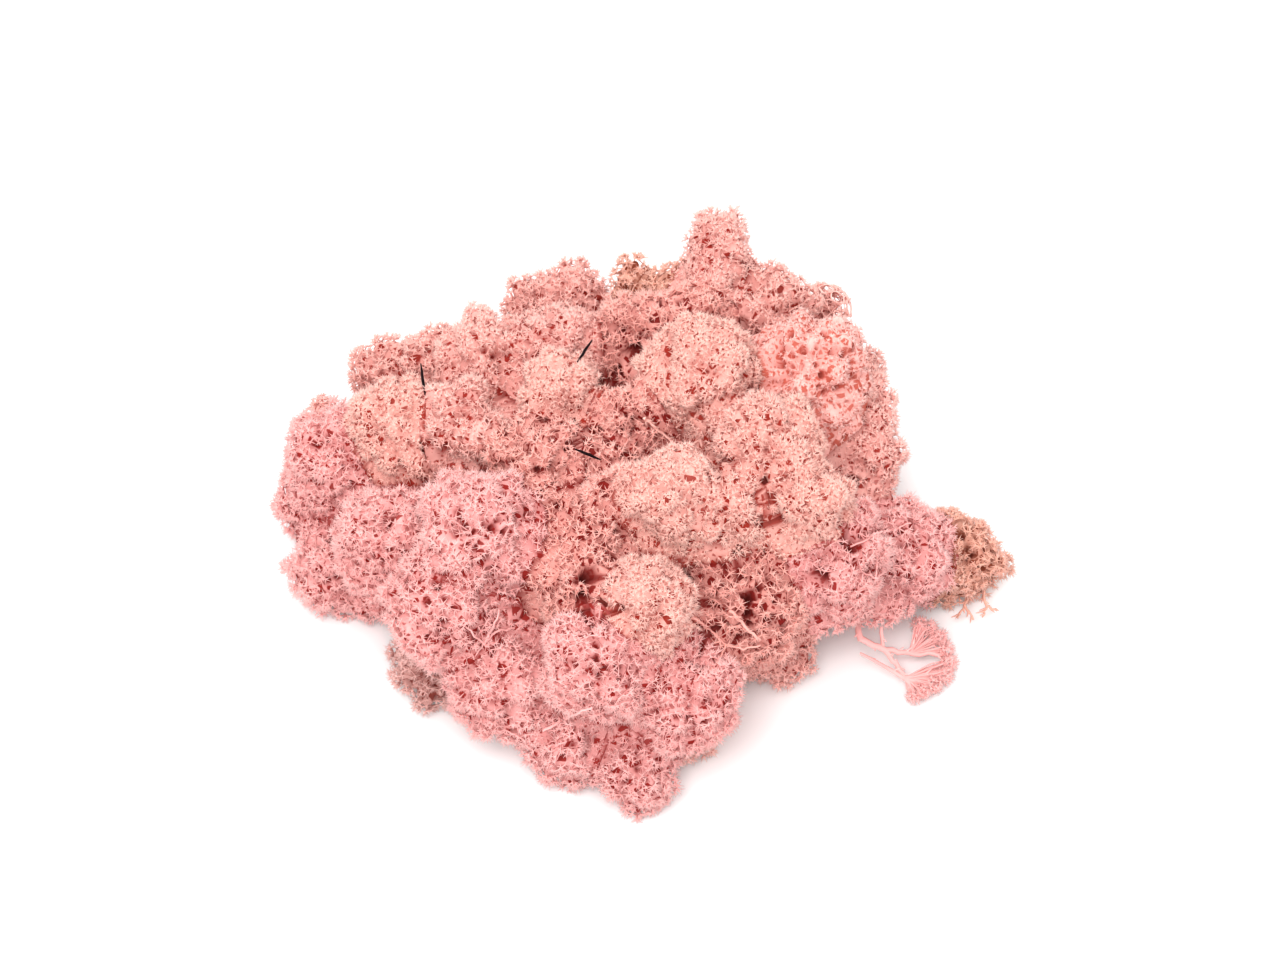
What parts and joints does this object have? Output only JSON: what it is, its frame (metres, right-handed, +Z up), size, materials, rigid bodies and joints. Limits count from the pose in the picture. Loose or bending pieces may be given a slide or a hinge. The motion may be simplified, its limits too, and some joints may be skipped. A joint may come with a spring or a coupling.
{
  "type": "reindeer moss clump",
  "caption": "Low heap of preserved, pink-dyed reindeer moss: rounded, finely branched lichen heads, an open sprig at one side and a few dark needles caught in it.",
  "frame": {"origin": "middle of the clump's outline, on the surface that it lies on", "axes": "+Z up; +X to the right and -Y towards the viewer as the picture shows the clump; the longest side lies along X"},
  "size_m": [0.1668, 0.1278, 0.0655],
  "materials": {
    "peach_tips": "matte",
    "pink_net": "matte",
    "low_pink": "matte",
    "tan_tips": "matte",
    "back_pink": "matte",
    "shaded_pink": "matte",
    "needle_brown": "matte"
  },
  "bodies": {
    "root": {"head_finger_tip": "peach_tips", "head_finger_base": "peach_tips", "head_back_brown_left": "tan_tips", "head_back_brown_right": "tan_tips", "head_fan_left": "back_pink", "head_fan_right": "back_pink", "head_back_shaded_left": "shaded_pink", "head_back_shaded_right": "shaded_pink", "head_back_right": "back_pink", "head_lacy_rim": "peach_tips", "head_crown": "peach_tips", "head_lattice": "low_pink", "head_right_rim_back": "peach_tips", "head_right_rim": "peach_tips", "head_crown_right_upper": "peach_tips", "head_crown_right_lower": "peach_tips", "head_right_rim_front": "peach_tips", "head_column_top": "peach_tips", "head_column_side": "peach_tips", "head_column_bottom": "peach_tips", "head_cream_head": "peach_tips", "head_cream_back": "peach_tips", "head_left_back": "peach_tips", "head_left_back_pair": "back_pink", "head_left_back_rim": "shaded_pink", "head_left_rim_small": "shaded_pink", "head_left_cream": "peach_tips", "head_left_cream_right": "peach_tips", "head_left_outer": "pink_net", "head_left_rim_low": "pink_net", "head_left_front_low": "low_pink", "head_left_front": "pink_net", "head_mound_top": "pink_net", "head_valley_back": "shaded_pink", "head_valley_middle": "shaded_pink", "head_valley_upper": "shaded_pink", "head_valley_dark": "shaded_pink", "head_valley_front": "shaded_pink", "head_mound_left": "pink_net", "head_mound_front": "pink_net", "head_low_left_grey": "low_pink", "head_front_left": "low_pink", "head_front_low": "low_pink", "head_front_tip": "low_pink", "head_front_right": "pink_net", "head_front_right_low": "peach_tips", "head_right_low": "back_pink", "head_stem_hollow": "shaded_pink", "head_right_front": "pink_net", "head_right_outer": "low_pink", "head_tan_head": "tan_tips", "head_hidden_back_left": "shaded_pink", "head_hidden_back_middle": "shaded_pink", "head_hidden_back_right": "shaded_pink", "head_hidden_middle": "shaded_pink", "head_hidden_left": "shaded_pink", "head_open_sprig": "low_pink", "needle_left": "needle_brown", "needle_middle": "needle_brown", "needle_valley": "needle_brown"}
  },
  "joints": []
}
